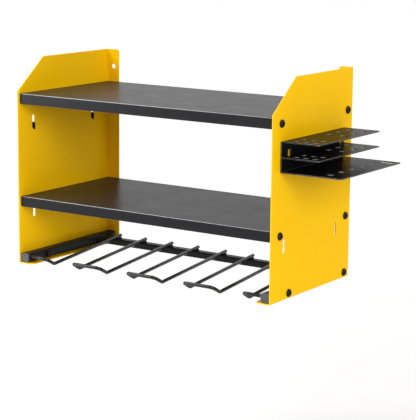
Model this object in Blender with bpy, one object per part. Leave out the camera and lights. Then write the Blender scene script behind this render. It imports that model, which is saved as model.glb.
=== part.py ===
"""A wall mounted organizer for power tools, in metres, +Z up, +X right, with the wall at Y = 0.

Two folded side panels carry two folded shelves and a welded rack of drill fingers. A tool rack
hangs outside the right panel and a hook rail outside the left one, each by two tabs that drop
into slots in the panel, so both lift off.
"""

import math

import bpy
from mathutils import Matrix, Vector

# The organizer over its two side panels
WIDTH = 0.430
DEPTH = 0.213
HEIGHT = 0.298

# Folded sheet, and the gaps between pieces
SHEET = 0.0015
BEND = 0.002
FIT = 0.0003
SEAM = 0.0005
OVERRUN = 0.002
BEND_STEPS = 5
ARC_STEPS = 5
SHARP_ANGLE = math.radians(35)

# Side panels: outline, flanges and the holes for the wall
FRONT_EDGE_BELOW_TOP = 0.046
TOP_SETBACK = 0.058
REAR_FLANGE = 0.0230
BOTTOM_FLANGE = 0.025
PANEL_CORNER = 0.003
REAR_FLANGE_CORNER = 0.004
BOTTOM_FLANGE_CORNER = 0.009
WALL_HOLE_RADIUS = 0.0035
WALL_HOLE_FROM_FOLD = 0.0130
LOWER_WALL_HOLE_HEIGHT = 0.040
UPPER_WALL_HOLE_BELOW_TOP = 0.026
HOLE_SIDES = 16

# Slots in the side panels, in two rows
SLOT_WIDTH = 0.005
SLOT_HEIGHT = 0.020
SLOT_FOOT_BELOW_MIDDLE_SHELF = 0.0352
SLOT_FOOT_BELOW_UPPER_SHELF = 0.0539
FRONT_SLOT_FROM_EDGE = 0.0337
REAR_SLOT_FROM_WALL = 0.0407

# Shelves
MIDDLE_SHELF_TOP = 0.0992
UPPER_SHELF_BELOW_FRONT_EDGE = 0.0031
SHELF_SETBACK = 0.0037
SHELF_LIP = 0.0155
LIP_CORNER = 0.002

# Screws and nuts
SHANK_RADIUS = 0.003
SCREW_CLEARANCE = 0.0003
HEAD_RADIUS = 0.0055
HEAD_HEIGHT = 0.0030
HEAD_RIM = 0.0006
HEAD_FLAT_RADIUS = 0.0029
SOCKET_ACROSS = 0.004
SOCKET_DEPTH = 0.0020
SHANK_CHAMFER = 0.0005
NUT_ACROSS = 0.010
NUT_HEIGHT = 0.005
NUT_CHAMFER = 0.0007
THREAD_PAST_NUT = 0.002
SCREW_SIDES = 24
NUT_SIDES = 12
SCREW_BELOW_SHELF_TOP = 0.0094
SHELF_SCREW_FROM_EDGE = 0.0215
RACK_SCREW_FROM_EDGE = 0.0470
REAR_SCREW_FROM_WALL = 0.0150

# Welded drill rack: square tubes with end caps, and bent rod fingers
TUBE_WIDTH = 0.014
TUBE_HEIGHT = 0.013
TUBE_WALL = 0.0012
TUBE_CORNER = 0.002
TUBE_REAR_GAP = 0.001
CAP_PLATE = 0.0015
CAP_STEM = 0.008
CAP_SETBACK = 0.0015
REAR_TUBE_FROM_WALL = 0.034
REAR_TUBE_HEIGHT = 0.010
ROD_RADIUS = 0.0025
ROD_BEND = 0.007
ROD_SIDES_SETTING = 3
OUTER_LEG_FROM_TUBE = 0.0307
FINGER_WIDTH = 0.0490
FINGER_COUNT = 3
FINGER_BEND_FROM_EDGE = 0.0235
FINGER_BEND_HEIGHT = 0.0005
FINGER_KICK = 0.0175
FINGER_KICK_RISE = 0.0095

# Tabs of the two pieces that hang in the upper slots
TAB_HEIGHT = 0.0085
TAB_NOSE_DROP = 0.0015
TAB_NOSE_REACH = 0.0025
TAB_NOSE_GAP = 0.0005
TAB_WINDOW = 0.0075
TAB_WINDOW_MARGIN = 0.0018
HANGER_OVERHANG = 0.0142

# Tool rack outside the right panel
RACK_TRAY_BELOW_SLOT = 0.0205
RACK_TIER = 0.021
RACK_TOP_REACH = 0.058
RACK_BOTTOM_REACH = 0.091
RACK_CORNER = 0.003
GUIDE_FLANGE = 0.010
GUIDE_FLANGE_INSET = 0.030
GUIDE_RELIEF = 0.001
DRIVER_HOLE_RADIUS = 0.0045
DRIVER_HOLE_COUNT = 5
DRIVER_ROW_REACH = 0.065
FIRST_DRIVER_FROM_FRONT = 0.0195
LAST_DRIVER_FROM_REAR = 0.0315
BIT_HOLE_RADIUS = 0.0040
SLIM_HOLE_RADIUS = 0.0055
BIT_ROW_SHARES = (0.31, 0.552, 0.793)
BIT_COLUMNS = 2
BIT_PITCH = 0.020
FIRST_BIT_FROM_FRONT = 0.012
SLIM_ROW_SHARES = (0.362, 0.724)
SLIM_COLUMNS = 3
SLIM_PITCH = 0.027
LAST_SLIM_FROM_REAR = 0.020
PLIERS_SLOT_LENGTH = 0.024
PLIERS_SLOT_WIDTH = 0.010
PLIERS_SLOT_FROM_EDGE = 0.0155
PLIERS_SLOT_FROM_REAR = 0.0115

# Hook rail outside the left panel
RAIL_ABOVE_TAB = 0.0005
RAIL_HEIGHT = 0.040
RAIL_CORNER = 0.004
HOOK_COUNT = 4
HOOK_FROM_RAIL_END = 0.0375
HOOK_REACH = 0.030
HOOK_TIP_RISE = 0.014
HOOK_ABOVE_RAIL_FOOT = 0.002
HOOK_BELOW_RAIL_TOP = 0.006

# Places that several pieces share
PANEL_OUTSIDE = WIDTH / 2
PANEL_INSIDE = PANEL_OUTSIDE - SHEET
FRONT_EDGE_HEIGHT = HEIGHT - FRONT_EDGE_BELOW_TOP
UPPER_WALL_HOLE_HEIGHT = HEIGHT - UPPER_WALL_HOLE_BELOW_TOP
UPPER_SHELF_TOP = FRONT_EDGE_HEIGHT - UPPER_SHELF_BELOW_FRONT_EDGE
UPPER_SLOT_BOTTOM = UPPER_SHELF_TOP - SLOT_FOOT_BELOW_UPPER_SHELF
LOWER_SLOT_BOTTOM = MIDDLE_SHELF_TOP - SLOT_FOOT_BELOW_MIDDLE_SHELF
HANGER_BACK = PANEL_OUTSIDE + FIT
SLOT_YS = (FRONT_SLOT_FROM_EDGE - DEPTH, -REAR_SLOT_FROM_WALL)
HANGER_FRONT_Y = SLOT_YS[0] - HANGER_OVERHANG
HANGER_REAR_Y = SLOT_YS[1] + HANGER_OVERHANG
HANGER_LENGTH = HANGER_REAR_Y - HANGER_FRONT_Y
TAB_FOOT = UPPER_SLOT_BOTTOM + FIT
TAB_TOP = TAB_FOOT + TAB_HEIGHT
NOSE_FOOT = UPPER_SLOT_BOTTOM - TAB_NOSE_DROP
RAIL_TOP = TAB_TOP + RAIL_ABOVE_TAB
RAIL_FOOT = RAIL_TOP - RAIL_HEIGHT
RACK_BOTTOM_HEIGHT = UPPER_SLOT_BOTTOM - RACK_TRAY_BELOW_SLOT
RACK_MIDDLE_HEIGHT = RACK_BOTTOM_HEIGHT + RACK_TIER
RACK_TOP_HEIGHT = RACK_MIDDLE_HEIGHT + RACK_TIER
TUBE_FOOT = SHEET + FIT
REAR_TUBE_TOP = TUBE_FOOT + REAR_TUBE_HEIGHT
TUBE_OUTSIDE = PANEL_INSIDE - FIT
TUBE_INSIDE = TUBE_OUTSIDE - TUBE_WIDTH
TUBE_REAR_Y = -(SHEET + TUBE_REAR_GAP)
CAP_FRONT_Y = -(DEPTH - CAP_SETBACK)
TUBE_FRONT_Y = CAP_FRONT_Y + CAP_PLATE + FIT
SHELF_SIDE = PANEL_INSIDE - FIT
SHELF_FRONT_SCREW_Y = SHELF_SCREW_FROM_EDGE - DEPTH
RACK_FRONT_SCREW_Y = RACK_SCREW_FROM_EDGE - DEPTH
REAR_SCREW_Y = -REAR_SCREW_FROM_WALL
REAR_TUBE_Y = -REAR_TUBE_FROM_WALL
FINGER_BEND_Y = FINGER_BEND_FROM_EDGE - DEPTH
OUTER_LEG_X = TUBE_INSIDE - OUTER_LEG_FROM_TUBE
FINGER_PITCH = (OUTER_LEG_X + FINGER_WIDTH / 2) * 2 / (FINGER_COUNT + 1)
SCREW_HOLE_RADIUS = SHANK_RADIUS + SCREW_CLEARANCE

YELLOW = ("yellow_powder_coat", (0.90, 0.53, 0.01), 0.32, 0.0)
BLACK = ("black_powder_coat", (0.025, 0.026, 0.030), 0.38, 0.0)
ROD_BLACK = ("black_rod_coat", (0.020, 0.021, 0.024), 0.30, 0.0)
SCREW_BLACK = ("black_oxide_screw", (0.030, 0.030, 0.032), 0.35, 0.8)
NUT_BLACK = ("black_oxide_nut", (0.035, 0.035, 0.037), 0.42, 0.8)
CAP_PLASTIC = ("black_cap_plastic", (0.030, 0.031, 0.034), 0.50, 0.0)


def clear_scene():
    for old in list(bpy.data.objects):
        bpy.data.objects.remove(old)


def finish_of(recipe):
    """The material of this name, made the first time that it is asked for."""
    name, colour, roughness, metallic = recipe
    made = bpy.data.materials.get(name)
    if made:
        return made
    made = bpy.data.materials.new(name)
    made.use_nodes = True
    shader = made.node_tree.nodes["Principled BSDF"]
    shader.inputs["Base Color"].default_value = (*colour, 1.0)
    shader.inputs["Roughness"].default_value = roughness
    shader.inputs["Metallic"].default_value = metallic
    return made


def smooth_by_angle():
    """Nodes that keep every edge sharper than SHARP_ANGLE hard, also where holes are cut."""
    name = "smooth_by_angle"
    group = bpy.data.node_groups.get(name)
    if group:
        return group
    group = bpy.data.node_groups.new(name, "GeometryNodeTree")
    group.interface.new_socket("Geometry", in_out="INPUT", socket_type="NodeSocketGeometry")
    group.interface.new_socket("Geometry", in_out="OUTPUT", socket_type="NodeSocketGeometry")
    entry = group.nodes.new("NodeGroupInput")
    angle = group.nodes.new("GeometryNodeInputMeshEdgeAngle")
    below = group.nodes.new("FunctionNodeCompare")
    below.operation = "LESS_THAN"
    below.inputs["B"].default_value = SHARP_ANGLE
    shade = group.nodes.new("GeometryNodeSetShadeSmooth")
    shade.domain = "EDGE"
    leave = group.nodes.new("NodeGroupOutput")
    group.links.new(entry.outputs[0], shade.inputs["Geometry"])
    group.links.new(angle.outputs["Unsigned Angle"], below.inputs["A"])
    group.links.new(below.outputs["Result"], shade.inputs["Shade Smooth"])
    group.links.new(shade.outputs["Geometry"], leave.inputs[0])
    return group


def finish_shading():
    """Hard cut edges and flat looking flats on every mesh, after its Booleans."""
    for piece in bpy.context.scene.objects:
        if piece.type == "MESH" and not piece.hide_render:
            smooth = piece.modifiers.new("Smooth", "NODES")
            smooth.node_group = smooth_by_angle()
            flats = piece.modifiers.new("Flats", "WEIGHTED_NORMAL")
            flats.keep_sharp = True


def add_object(name, mesh, recipe):
    piece = bpy.data.objects.new(name, mesh)
    bpy.context.scene.collection.objects.link(piece)
    if not mesh.materials:
        mesh.materials.append(finish_of(recipe))
    return piece


def mesh_of(name, points, faces):
    mesh = bpy.data.meshes.new(name)
    mesh.from_pydata([tuple(point) for point in points], [], faces)
    mesh.validate()
    mesh.shade_smooth()
    return mesh


def rounded(before, corner, after, radius):
    """The points of an arc that rounds one corner of an outline."""
    towards = (before - corner).normalized()
    onwards = (after - corner).normalized()
    half = towards.angle(onwards) / 2
    reach = radius / math.tan(half)
    centre = corner + (towards + onwards).normalized() * radius / math.sin(half)
    start = corner + towards * reach - centre
    end = corner + onwards * reach - centre
    shares = [step / ARC_STEPS for step in range(ARC_STEPS + 1)]
    return [centre + start.slerp(end, share) * radius for share in shares]


class FoldedSheet:
    """The outside of a folded sheet: its points, the way each one faces, and the faces between."""

    def __init__(self, outline, facing):
        self.points = [Vector(point) for point in outline]
        self.facings = [Vector(facing)] * len(self.points)
        self.faces = [tuple(range(len(self.points)))]

    def add_point(self, point, facing):
        self.points.append(point)
        self.facings.append(facing)
        return len(self.points) - 1

    def fold(self, first, last, length, first_grows=0, last_grows=0, corner=0):
        """Folds a flange back from the edge that runs from point first to point last.

        length is the flange's outside length. An end that grows widens through the bend, to
        close a corner. Returns the flange's two free corners, for a further fold.
        """
        start, end = self.points[first], self.points[last]
        facing = self.facings[first]
        along = (end - start).normalized()
        out = along.cross(facing)
        a, b = first, last
        for step in range(1, BEND_STEPS + 1):
            turn = math.pi / 2 * step / BEND_STEPS
            moved = out * BEND * math.sin(turn) - facing * BEND * (1 - math.cos(turn))
            faces_now = facing * math.cos(turn) + out * math.sin(turn)
            next_a = self.add_point(start - along * first_grows * math.sin(turn) + moved, faces_now)
            next_b = self.add_point(end + along * last_grows * math.sin(turn) + moved, faces_now)
            self.faces.append((b, a, next_a, next_b))
            a, b = next_a, next_b
        edge_a = self.points[a] - facing * (length - BEND)
        edge_b = self.points[b] - facing * (length - BEND)
        if corner:
            tip = rounded(self.points[a], edge_a, edge_b, corner)
            tip += rounded(edge_a, edge_b, self.points[b], corner)
        else:
            tip = [edge_a, edge_b]
        made = [self.add_point(point, out) for point in tip]
        self.faces.append((b, a, *made))
        return made[0], made[-1]

    def solid(self, name):
        """The closed mesh: this outside, the inside one sheet behind it, and the cut edges."""
        count = len(self.points)
        inside = [point - facing * SHEET for point, facing in zip(self.points, self.facings)]
        faces = list(self.faces)
        faces += [tuple(corner + count for corner in reversed(face)) for face in self.faces]
        edges = {edge for face in self.faces for edge in zip(face, face[1:] + face[:1])}
        for start, end in sorted(edges):
            if (end, start) not in edges:
                faces.append((end, start, start + count, end + count))
        return mesh_of(name, self.points + inside, faces)


def prism(outline, depth):
    """Points and faces of an outline pushed along depth, facing out."""
    count = len(outline)
    middle = sum(outline, Vector()) / count
    normal = sum(((a - middle).cross(b - middle) for a, b in zip(outline, outline[1:])), Vector())
    if normal.dot(depth) > 0:
        outline = outline[::-1]
    points = list(outline) + [point + depth for point in outline]
    faces = [tuple(range(count)), tuple(range(2 * count - 1, count - 1, -1))]
    for corner in range(count):
        after = (corner + 1) % count
        faces.append((after, corner, corner + count, after + count))
    return points, faces


def stadium(centre, half_width, half_length, across, along, steps=HOLE_SIDES):
    """A slot's outline with round ends, or a circle where both halves are the same."""
    ring = []
    for end in (1, -1):
        for step in range(steps // 2 + 1):
            turn = math.pi * step / (steps // 2)
            ring.append(
                centre
                + along * end * (half_length - half_width)
                + across * end * half_width * math.cos(turn)
                + along * end * half_width * math.sin(turn)
            )
    unique = [ring[0]]
    nearest = half_width / steps
    for point in ring[1:]:
        if min((point - unique[-1]).length, (point - ring[0]).length) > nearest:
            unique.append(point)
    return unique


def rectangle(low, high, across, along):
    return [
        across * low[0] + along * low[1],
        across * high[0] + along * low[1],
        across * high[0] + along * high[1],
        across * low[0] + along * high[1],
    ]


X, Y, Z = Vector((1, 0, 0)), Vector((0, 1, 0)), Vector((0, 0, 1))


def join(shapes):
    """One list of points and one of faces from several closed shapes that stay apart."""
    points, faces = [], []
    for more_points, more_faces in shapes:
        start = len(points)
        points += more_points
        faces += [tuple(corner + start for corner in face) for face in more_faces]
    return points, faces


def apply_shapes(piece, shapes, operation):
    """A Boolean on piece with shapes, which become one hidden helper."""
    points, faces = join(shapes)
    name = f"{piece.name}_{operation.lower()}_helper"
    helper = bpy.data.objects.new(name, mesh_of(name, points, faces))
    bpy.context.scene.collection.objects.link(helper)
    helper.hide_render = True
    helper.display_type = "WIRE"
    change = piece.modifiers.new(operation.title(), "BOOLEAN")
    change.operation = operation
    change.object = helper


def hole_along(direction, centre, radius, length):
    """A round cutter of this length, centred on a point."""
    across = Z if direction is X else X
    along = direction.cross(across)
    start = centre - direction * length / 2
    return prism(stadium(start, radius, radius, across, along), direction * length)


def slot_along_x(y, bottom, height, x):
    start = Vector((x - (SHEET / 2 + OVERRUN), y, bottom + height / 2))
    outline = stadium(start, SLOT_WIDTH / 2, height / 2, Y, Z)
    return prism(outline, X * (SHEET + 2 * OVERRUN))


def screw_places():
    """Where each panel takes a screw: name, Y, Z, and how far in its nut sits."""
    behind_sheet = SHEET + FIT
    shelf_grip = behind_sheet + SHEET + FIT
    tube_grip = behind_sheet + TUBE_WIDTH + FIT
    tube_middle = TUBE_FOOT + TUBE_HEIGHT / 2
    return (
        ("upper_front", SHELF_FRONT_SCREW_Y, UPPER_SHELF_TOP - SCREW_BELOW_SHELF_TOP, shelf_grip),
        ("upper_rear", REAR_SCREW_Y, UPPER_SHELF_TOP - SCREW_BELOW_SHELF_TOP, shelf_grip),
        ("middle_front", SHELF_FRONT_SCREW_Y, MIDDLE_SHELF_TOP - SCREW_BELOW_SHELF_TOP, shelf_grip),
        ("middle_rear", REAR_SCREW_Y, MIDDLE_SHELF_TOP - SCREW_BELOW_SHELF_TOP, shelf_grip),
        ("lower_front", RACK_FRONT_SCREW_Y, tube_middle, tube_grip),
        ("lower_rear", REAR_SCREW_Y, tube_middle, tube_grip),
    )


def mirror_left(mesh):
    mesh.transform(Matrix.Scale(-1, 4, X))
    mesh.flip_normals()
    return mesh


def side_panel(name, side):
    """A five-sided sheet with its rear and bottom edges folded inwards."""
    corner = Vector((PANEL_OUTSIDE, -BEND, BEND))
    rear_top = Vector((PANEL_OUTSIDE, -BEND, HEIGHT))
    slope_top = Vector((PANEL_OUTSIDE, TOP_SETBACK - DEPTH, HEIGHT))
    slope_foot = Vector((PANEL_OUTSIDE, -DEPTH, FRONT_EDGE_HEIGHT))
    front_foot = Vector((PANEL_OUTSIDE, -DEPTH, BEND))
    outline = [corner, rear_top]
    outline += rounded(rear_top, slope_top, slope_foot, PANEL_CORNER)
    outline += rounded(slope_top, slope_foot, front_foot, PANEL_CORNER)
    outline.append(front_foot)
    sheet = FoldedSheet(outline, X)
    closing = BEND - SHEET - SEAM
    sheet.fold(0, 1, REAR_FLANGE, BEND, corner=REAR_FLANGE_CORNER)
    front = len(outline) - 1
    sheet.fold(front, 0, BOTTOM_FLANGE, last_grows=closing, corner=BOTTOM_FLANGE_CORNER)
    mesh = sheet.solid(name)
    if side < 0:
        mirror_left(mesh)
    panel = add_object(name, mesh, YELLOW)
    middle = side * (PANEL_OUTSIDE - SHEET / 2)
    cuts = []
    for y in SLOT_YS:
        for bottom in (LOWER_SLOT_BOTTOM, UPPER_SLOT_BOTTOM):
            cuts.append(slot_along_x(y, bottom, SLOT_HEIGHT, middle))
    for _, y, z, _ in screw_places():
        centre = Vector((middle, y, z))
        cuts.append(hole_along(X, centre, SCREW_HOLE_RADIUS, SHEET + 2 * OVERRUN))
    for height in (LOWER_WALL_HOLE_HEIGHT, UPPER_WALL_HOLE_HEIGHT):
        centre = Vector((side * (PANEL_OUTSIDE - WALL_HOLE_FROM_FOLD), -SHEET / 2, height))
        cuts.append(hole_along(Y, centre, WALL_HOLE_RADIUS, SHEET + 2 * OVERRUN))
    apply_shapes(panel, cuts, "DIFFERENCE")


def shelf(name, top):
    """A flat shelf with its four edges folded down, screwed to the panels through its ends."""
    front = -(DEPTH - SHELF_SETBACK)
    rear = -(SHEET + FIT)
    side = SHELF_SIDE
    outline = [
        (BEND - side, front + BEND, top),
        (side - BEND, front + BEND, top),
        (side - BEND, rear - BEND, top),
        (BEND - side, rear - BEND, top),
    ]
    sheet = FoldedSheet(outline, Z)
    closing = BEND - SHEET - SEAM
    clear_of_panel = BEND - SHEET
    sheet.fold(0, 1, SHELF_LIP, BEND, BEND, LIP_CORNER)
    sheet.fold(1, 2, SHELF_LIP, closing, closing, LIP_CORNER)
    sheet.fold(2, 3, SHELF_LIP, clear_of_panel, clear_of_panel, LIP_CORNER)
    sheet.fold(3, 0, SHELF_LIP, closing, closing, LIP_CORNER)
    piece = add_object(name, sheet.solid(name), BLACK)
    cuts = []
    for x in (-side + SHEET / 2, side - SHEET / 2):
        for y in (SHELF_FRONT_SCREW_Y, REAR_SCREW_Y):
            centre = Vector((x, y, top - SCREW_BELOW_SHELF_TOP))
            cuts.append(hole_along(X, centre, SCREW_HOLE_RADIUS, SHEET + 2 * OVERRUN))
    apply_shapes(piece, cuts, "DIFFERENCE")


def tube_ring(centre, across, half_width, half_height, corner):
    """A rounded rectangle about a point, in the plane of across and +Z."""
    corners = [
        centre + across * half_width * wide + Z * half_height * high
        for wide, high in ((-1, -1), (1, -1), (1, 1), (-1, 1))
    ]
    ring = []
    for index, point in enumerate(corners):
        ring += rounded(corners[index - 1], point, corners[(index + 1) % 4], corner)
    return ring


def tube(name, start, end, height):
    """A tube of this height between two points on its centre line."""
    across = (end - start).normalized().cross(Z)
    rings = []
    for inset, corner in ((0, TUBE_CORNER), (TUBE_WALL, TUBE_CORNER - TUBE_WALL)):
        for centre in (start, end):
            half_width = TUBE_WIDTH / 2 - inset
            rings.append(tube_ring(centre, across, half_width, height / 2 - inset, corner))
    count = len(rings[0])
    points = [point for ring in rings for point in ring]
    faces = []
    for corner in range(count):
        after = (corner + 1) % count
        for first, second in ((1, 0), (2, 3), (0, 2), (3, 1)):
            a, b = first * count, second * count
            faces.append((a + corner, a + after, b + after, b + corner))
    return add_object(name, mesh_of(name, points, faces), BLACK)


def drill_rack_tubes():
    """Two side tubes on the panels' bottom flanges and a rear tube between them."""
    middle_x = (TUBE_OUTSIDE + TUBE_INSIDE) / 2
    middle_z = TUBE_FOOT + TUBE_HEIGHT / 2
    for name, side in (("left_rack_tube", -1), ("right_rack_tube", 1)):
        start = Vector((side * middle_x, TUBE_FRONT_Y, middle_z))
        end = Vector((side * middle_x, TUBE_REAR_Y, middle_z))
        piece = tube(name, start, end, TUBE_HEIGHT)
        cuts = []
        for y in (RACK_FRONT_SCREW_Y, REAR_SCREW_Y):
            centre = Vector((side * middle_x, y, middle_z))
            cuts.append(hole_along(X, centre, SCREW_HOLE_RADIUS, TUBE_WIDTH + 2 * OVERRUN))
        apply_shapes(piece, cuts, "DIFFERENCE")
    reach = TUBE_INSIDE - FIT
    rear_z = TUBE_FOOT + REAR_TUBE_HEIGHT / 2
    start = Vector((-reach, REAR_TUBE_Y, rear_z))
    end = Vector((reach, REAR_TUBE_Y, rear_z))
    tube("rear_rack_tube", start, end, REAR_TUBE_HEIGHT)


def tube_cap(name, side):
    """A plastic plug: a plate over the tube's front end and a stem inside it."""
    centre = Vector((side * (TUBE_OUTSIDE + TUBE_INSIDE) / 2, CAP_FRONT_Y, TUBE_FOOT + TUBE_HEIGHT / 2))
    half_width, half_height = TUBE_WIDTH / 2, TUBE_HEIGHT / 2
    dome = CAP_PLATE / 3
    inset = TUBE_WALL + FIT
    stem_corner = TUBE_CORNER - TUBE_WALL
    plate_corner = TUBE_CORNER
    rings = [
        tube_ring(centre, X, half_width - dome, half_height - dome, plate_corner),
        tube_ring(centre + Y * dome, X, half_width, half_height, plate_corner),
        tube_ring(centre + Y * CAP_PLATE, X, half_width, half_height, plate_corner),
        tube_ring(centre + Y * CAP_PLATE, X, half_width - inset, half_height - inset, stem_corner),
        tube_ring(centre + Y * CAP_STEM, X, half_width - inset, half_height - inset, stem_corner),
    ]
    count = len(rings[0])
    points = [point for ring in rings for point in ring]
    faces = [tuple(range(count))]
    for ring in range(len(rings) - 1):
        a, b = ring * count, (ring + 1) * count
        for corner in range(count):
            after = (corner + 1) % count
            faces.append((a + after, a + corner, b + corner, b + after))
    faces.append(tuple(range(len(points) - 1, len(points) - 1 - count, -1)))
    add_object(name, mesh_of(name, points, faces), CAP_PLASTIC)


def rod(name, corners, bend):
    """A round rod bent through these corners, with flat cut ends."""
    path = [corners[0]]
    for before, corner, after in zip(corners, corners[1:], corners[2:]):
        path += rounded(before, corner, after, bend)
    path.append(corners[-1])
    curve = bpy.data.curves.new(name, "CURVE")
    curve.dimensions = "3D"
    curve.bevel_depth = ROD_RADIUS
    curve.bevel_resolution = ROD_SIDES_SETTING
    curve.use_fill_caps = True
    spline = curve.splines.new("POLY")
    spline.points.add(len(path) - 1)
    for target, point in zip(spline.points, path):
        target.co = (*point, 1)
    return add_object(name, curve, ROD_BLACK)


def leg_points(x):
    """A finger's leg from its rear end, lying on the rear tube, to its raised front."""
    rest = Vector((x, REAR_TUBE_Y - TUBE_WIDTH / 2, REAR_TUBE_TOP + FIT + ROD_RADIUS))
    bend = Vector((x, FINGER_BEND_Y, FINGER_BEND_HEIGHT))
    slope = (rest - bend) / (rest.y - bend.y)
    rear = rest + slope * TUBE_WIDTH
    tip = Vector((x, FINGER_BEND_Y - FINGER_KICK, FINGER_BEND_HEIGHT + FINGER_KICK_RISE))
    return [rear, bend, tip]


def drill_fingers():
    """Bent rods welded on the rear tube: whole fingers, and a half one at each side tube."""
    half = FINGER_WIDTH / 2
    for index in range(FINGER_COUNT):
        x = (index - (FINGER_COUNT - 1) / 2) * FINGER_PITCH
        corners = leg_points(x - half) + leg_points(x + half)[::-1]
        rod(f"drill_finger_{index + 2}", corners, ROD_BEND)
    for number, side in ((1, -1), (FINGER_COUNT + 2, 1)):
        leg = leg_points(side * OUTER_LEG_X)
        butt = Vector((side * (TUBE_INSIDE - FIT), leg[-1].y, leg[-1].z))
        rod(f"drill_finger_{number}", leg + [butt], ROD_BEND)


def hanging_tab(y):
    """A tab turned through a slot: its nose drops behind the panel."""
    root = HANGER_BACK + SHEET
    nose_face = PANEL_INSIDE - TAB_NOSE_GAP
    nose_end = nose_face - TAB_NOSE_REACH
    start = y - SHEET / 2
    outline = [
        Vector((root, start, TAB_FOOT)),
        Vector((root, start, TAB_TOP)),
        Vector((nose_end, start, TAB_TOP)),
        Vector((nose_end, start, NOSE_FOOT)),
        Vector((nose_face, start, NOSE_FOOT)),
        Vector((nose_face, start, TAB_FOOT)),
    ]
    return prism(outline, Y * SHEET)


def tab_window(y, top):
    """The opening, up to this height, that a tab leaves in the back of its piece."""
    start = y + SHEET / 2 + TAB_WINDOW_MARGIN
    outline = rectangle((start, NOSE_FOOT), (start + TAB_WINDOW, top), Y, Z)
    outline = [point + X * (HANGER_BACK - OVERRUN) for point in outline]
    return prism(outline, X * (SHEET + 2 * OVERRUN))


def mirrored_shapes(shapes):
    """The same closed shapes on the left side."""
    return [
        ([Vector((-p.x, p.y, p.z)) for p in points], [face[::-1] for face in faces])
        for points, faces in shapes
    ]


def upright_hole(x, y, z, radius):
    centre = Vector((x, y, z))
    return hole_along(Z, centre, radius, SHEET + 2 * OVERRUN)


def bit_holes(z):
    """Small holes for bits at the front and larger ones for slim drivers at the rear."""
    cuts = []
    for row_share in BIT_ROW_SHARES:
        x = HANGER_BACK + RACK_TOP_REACH * row_share
        for column in range(BIT_COLUMNS):
            y = HANGER_FRONT_Y + FIRST_BIT_FROM_FRONT + column * BIT_PITCH
            cuts.append(upright_hole(x, y, z, BIT_HOLE_RADIUS))
    for row_share in SLIM_ROW_SHARES:
        x = HANGER_BACK + RACK_TOP_REACH * row_share
        for column in range(SLIM_COLUMNS):
            y = HANGER_REAR_Y - LAST_SLIM_FROM_REAR - column * SLIM_PITCH
            cuts.append(upright_hole(x, y, z, SLIM_HOLE_RADIUS))
    return cuts


def tool_rack():
    """A channel open to the right: a drilled top, a back with two tabs, and a deep bottom tray."""
    outline = [
        (HANGER_BACK, HANGER_REAR_Y, RACK_BOTTOM_HEIGHT + BEND),
        (HANGER_BACK, HANGER_FRONT_Y, RACK_BOTTOM_HEIGHT + BEND),
        (HANGER_BACK, HANGER_FRONT_Y, RACK_TOP_HEIGHT - BEND),
        (HANGER_BACK, HANGER_REAR_Y, RACK_TOP_HEIGHT - BEND),
    ]
    sheet = FoldedSheet(outline, -X)
    sheet.fold(0, 1, RACK_BOTTOM_REACH, corner=RACK_CORNER)
    sheet.fold(2, 3, RACK_TOP_REACH, corner=RACK_CORNER)
    rack = add_object("tool_rack_frame", sheet.solid("tool_rack_frame"), BLACK)
    apply_shapes(rack, [hanging_tab(y) for y in SLOT_YS], "UNION")
    cuts = bit_holes(RACK_TOP_HEIGHT - SHEET / 2)
    cuts += [tab_window(y, TAB_TOP) for y in SLOT_YS]
    tray_middle = RACK_BOTTOM_HEIGHT + SHEET / 2
    row = HANGER_LENGTH - FIRST_DRIVER_FROM_FRONT - LAST_DRIVER_FROM_REAR
    for index in range(DRIVER_HOLE_COUNT):
        y = HANGER_FRONT_Y + FIRST_DRIVER_FROM_FRONT + row * index / (DRIVER_HOLE_COUNT - 1)
        cuts.append(upright_hole(HANGER_BACK + DRIVER_ROW_REACH, y, tray_middle, DRIVER_HOLE_RADIUS))
    slot_x = HANGER_BACK + RACK_BOTTOM_REACH - PLIERS_SLOT_FROM_EDGE
    slot_y = HANGER_REAR_Y - PLIERS_SLOT_FROM_REAR
    start = Vector((slot_x, slot_y, tray_middle - (SHEET / 2 + OVERRUN)))
    outline = stadium(start, PLIERS_SLOT_WIDTH / 2, PLIERS_SLOT_LENGTH / 2, Y, X)
    cuts.append(prism(outline, Z * (SHEET + 2 * OVERRUN)))
    apply_shapes(rack, cuts, "DIFFERENCE")


def tool_rack_guide():
    """The plate between the rack's top and tray, which keeps the bits upright."""
    back = HANGER_BACK + SHEET + FIT
    free = HANGER_BACK + RACK_TOP_REACH
    front, rear = HANGER_FRONT_Y, HANGER_REAR_Y
    fold_rear, fold_front = rear - GUIDE_FLANGE_INSET, front + GUIDE_FLANGE_INSET
    corners = [
        Vector((back, front, RACK_MIDDLE_HEIGHT)),
        Vector((free, front, RACK_MIDDLE_HEIGHT)),
        Vector((free, rear, RACK_MIDDLE_HEIGHT)),
        Vector((back, rear, RACK_MIDDLE_HEIGHT)),
    ]
    outline = [
        Vector((back + BEND, fold_rear, RACK_MIDDLE_HEIGHT)),
        Vector((back + BEND, fold_front, RACK_MIDDLE_HEIGHT)),
        Vector((back + BEND, fold_front - GUIDE_RELIEF, RACK_MIDDLE_HEIGHT)),
        Vector((back, fold_front - GUIDE_RELIEF, RACK_MIDDLE_HEIGHT)),
        corners[0],
    ]
    outline += rounded(*corners[:3], RACK_CORNER)
    outline += rounded(*corners[1:], RACK_CORNER)
    outline += [
        corners[3],
        Vector((back, fold_rear + GUIDE_RELIEF, RACK_MIDDLE_HEIGHT)),
        Vector((back + BEND, fold_rear + GUIDE_RELIEF, RACK_MIDDLE_HEIGHT)),
    ]
    sheet = FoldedSheet(outline, Z)
    sheet.fold(0, 1, GUIDE_FLANGE, corner=LIP_CORNER)
    guide = add_object("tool_rack_guide", sheet.solid("tool_rack_guide"), BLACK)
    apply_shapes(guide, bit_holes(RACK_MIDDLE_HEIGHT - SHEET / 2), "DIFFERENCE")


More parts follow.
